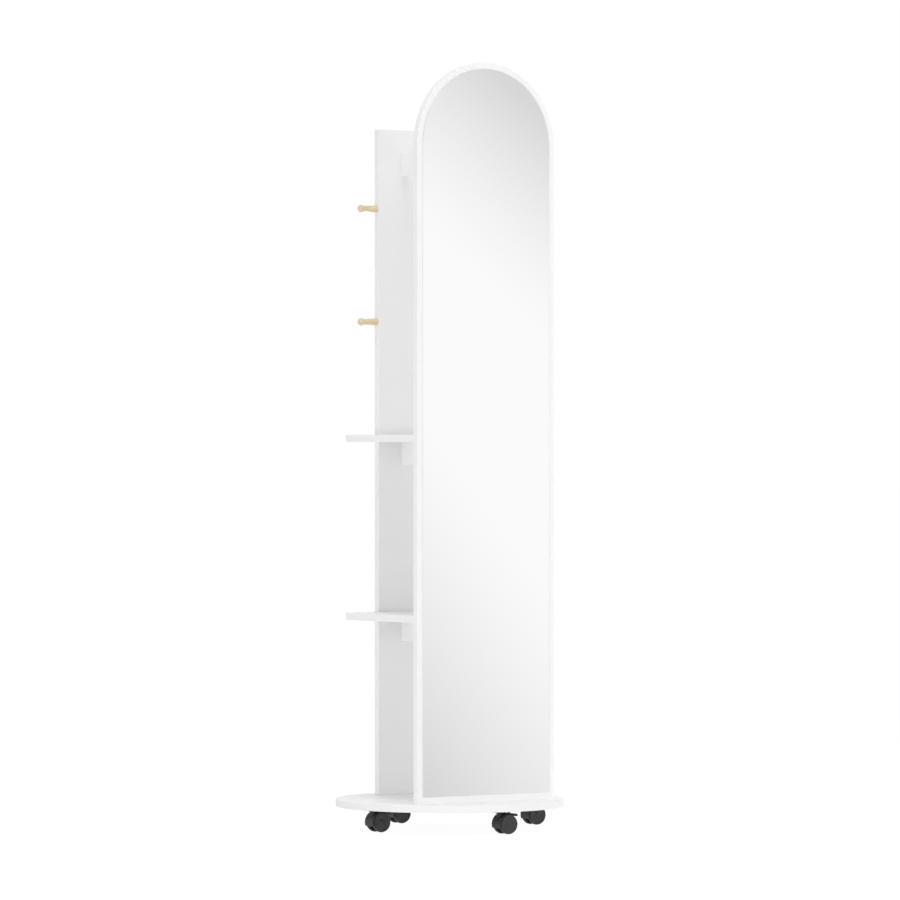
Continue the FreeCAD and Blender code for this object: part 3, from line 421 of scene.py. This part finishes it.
def add_object(name, data):
    """A new object, linked to the scene."""
    added = bpy.data.objects.new(name, data)
    bpy.context.scene.collection.objects.link(added)
    return added


def make_camera():
    """The photograph's view: level, about 12 m away, with the horizon above the middle."""
    data = bpy.data.cameras.new("camera")
    data.sensor_width = SENSOR_WIDTH
    data.lens = SENSOR_WIDTH * FOCAL_PIXELS / IMAGE_SIDE
    data.shift_y = (HORIZON_ROW - IMAGE_SIDE / 2) / IMAGE_SIDE
    data.clip_end = VIEW_DEPTH
    camera = add_object("camera", data)
    camera.location = CAMERA_PLACE
    camera.rotation_euler = (math.pi / 2, 0, -CAMERA_TURN)
    bpy.context.scene.camera = camera


# ---------------------------------------------------------------- world, floor and lamps

WORLD_LIGHT = 0.585
FLOOR_SIDE = 400.0
FLOOR_ALBEDO = 0.86
FLOOR_MOTTLE = 0.01
FLOOR_CLOUD = 0.8
# Seen directly, the floor is mostly its own white, and the rest is paper that takes a shadow.
FLOOR_GLOW = 1.06
FLOOR_GLOW_SHARE = 0.90
STAND_MIDDLE = (0.0, 0.0, 0.85)
# name, place, disc size, watts
LAMPS = (
    ("front_low", (1.4, -4.4, 0.6), 1.0, 30),
    ("left_low", (-4.2, -1.8, 0.5), 0.8, 43),
    ("right_low", (4.4, -0.6, 0.35), 0.6, 28),
    ("right_top", (3.0, 0.4, 3.2), 1.6, 16),
    ("top", (-0.8, -1.6, 9.0), 3.0, 197),
    ("top_front", (0.4, -2.4, 3.8), 1.6, 12),
    ("back", (1.2, 4.6, 2.0), 2.0, 50),
)


def camera_or_reflection(tree):
    """1 for rays that see the surroundings directly or in a mirror."""
    path = tree.add("ShaderNodeLightPath")
    seen = tree.math("MAXIMUM", path.outputs["Is Camera Ray"], path.outputs["Is Glossy Ray"])
    return tree.math("MAXIMUM", seen, path.outputs["Is Transmission Ray"])


def make_world():
    """White where it is seen, and dimmer where it lights the stand."""
    world = bpy.data.worlds.new("studio")
    world.use_nodes = True
    tree = Tree(world.node_tree)
    strength = tree.remap(camera_or_reflection(tree), 0.0, 1.0, WORLD_LIGHT, 1.0)
    light = tree.add("ShaderNodeBackground", {"Color": grey(1.0), "Strength": strength})
    tree.add("ShaderNodeOutputWorld", {"Surface": light.outputs["Background"]})
    bpy.context.scene.world = world


def floor_material():
    """White paper that still takes a light shadow from the stand."""
    material, tree = new_material("studio_floor")
    tone = tree.spread(tree.noise(tree.place(), FLOOR_CLOUD))
    paper = tree.add("ShaderNodeBsdfDiffuse", {
        "Color": tree.blend(tone, grey(FLOOR_ALBEDO - FLOOR_MOTTLE), grey(FLOOR_ALBEDO)),
    })
    share = tree.math("MULTIPLY", camera_or_reflection(tree), FLOOR_GLOW_SHARE)
    tree.output(tree.mix_shaders(share, paper.outputs["BSDF"], tree.white_glow(FLOOR_GLOW)))
    return material


def make_floor():
    """One large square under the casters."""
    half = FLOOR_SIDE / 2
    corners = [(-half, -half, 0), (half, -half, 0), (half, half, 0), (-half, half, 0)]
    mesh = bpy.data.meshes.new("floor")
    mesh.from_pydata(corners, [], [(0, 1, 2, 3)])
    mesh.materials.append(floor_material())
    sheet = add_object("floor", mesh)
    sheet.location.z = FLOOR_LEVEL


def make_lamps():
    """Soft round lamps that all point at the stand and are seen only by their light."""
    for name, place, size, power in LAMPS:
        data = bpy.data.lights.new(name, "AREA")
        data.shape = "DISK"
        data.size = size
        data.energy = power
        lamp = add_object(name, data)
        lamp.location = place
        aim = Vector(STAND_MIDDLE) - Vector(place)
        lamp.rotation_euler = aim.to_track_quat("-Z", "Y").to_euler()
        lamp.visible_glossy = False
        lamp.visible_camera = False


# ---------------------------------------------------------------- light tent

TENT_RADIUS = 1.3
TENT_HEIGHT = 2.4
TENT_SEGMENTS = 96
TENT_WHITE = 0.99
TENT_FACING = math.radians(31.5)
# The shading swings up and down this many times on the way round.
TENT_WAVES = 6
# Its own floor lies just above the studio's, and lightens towards the stand.
TENT_BASE = FLOOR_LEVEL + 0.001
TENT_FLOOR_LIFT = 0.45
# Each soft grey patch: the heights in metres where it starts and is full, how dark it gets, how
# far it leans with the swing, and how steeply it darkens.
TENT_CROWN = {"start": 1.205, "full": 1.754, "depth": 0.288, "slant": 0.95, "curve": 1.5}
TENT_FOOT = {"start": 0.724, "full": -0.185, "depth": 0.302, "slant": 1.4, "curve": 1.35}
# Reflections alone see the tent.
TENT_HIDDEN_FROM = ("camera", "diffuse", "transmission", "volume_scatter", "shadow")


def tent_material():
    """White cloth that glows, with a grey patch at its crown and another at its foot."""
    material, tree = new_material("tent_cloth")
    parts = tree.split(tree.add("ShaderNodeTexCoord").outputs["Object"])
    ahead = tree.math("MULTIPLY", parts["Y"], -1.0)
    around = tree.math("ARCTAN2", parts["X"], ahead)
    turns = tree.math("MULTIPLY", tree.math("SUBTRACT", around, TENT_FACING), TENT_WAVES)
    squares = [tree.math("POWER", tree.math("ABSOLUTE", parts[axis]), 2.0) for axis in "XY"]
    radius = tree.math("SQRT", tree.math("ADD", *squares))
    reach = tree.math("DIVIDE", radius, TENT_WAVES)
    sideways = tree.math("MULTIPLY", tree.math("SINE", turns), reach)
    inwards = tree.math("SUBTRACT", 1.0, tree.math("DIVIDE", radius, TENT_RADIUS))
    rise = tree.math("ADD", parts["Z"], tree.math("MULTIPLY", inwards, TENT_FLOOR_LIFT))
    level = TENT_WHITE
    for patch in (TENT_CROWN, TENT_FOOT):
        height = tree.math("ADD", rise, tree.math("MULTIPLY", sideways, patch["slant"]))
        ramp = tree.remap(height, patch["start"], patch["full"])
        dark = tree.math("MULTIPLY", tree.math("POWER", ramp, patch["curve"]), patch["depth"])
        level = tree.math("SUBTRACT", level, dark)
    tree.output(tree.white_glow(level))
    return material


def make_light_tent():
    """A round tent with a floor, open at the top, which the mirror reflects."""
    ring = [2 * math.pi * step / TENT_SEGMENTS for step in range(TENT_SEGMENTS)]
    points = [(TENT_RADIUS * math.cos(turn), TENT_RADIUS * math.sin(turn), height)
              for height in (TENT_BASE, TENT_HEIGHT) for turn in ring]
    faces = [tuple(range(TENT_SEGMENTS))]
    for step in range(TENT_SEGMENTS):
        following = (step + 1) % TENT_SEGMENTS
        faces.append((step, following, following + TENT_SEGMENTS, step + TENT_SEGMENTS))
    mesh = bpy.data.meshes.new("light_tent")
    mesh.from_pydata(points, [], faces)
    mesh.materials.append(tent_material())
    tent = add_object("light_tent", mesh)
    for ray in TENT_HIDDEN_FROM:
        setattr(tent, "visible_" + ray, False)


make_camera()
make_world()
make_floor()
make_light_tent()
make_lamps()
dress_nodes()

bpy.context.scene.view_settings.view_transform = "Standard"
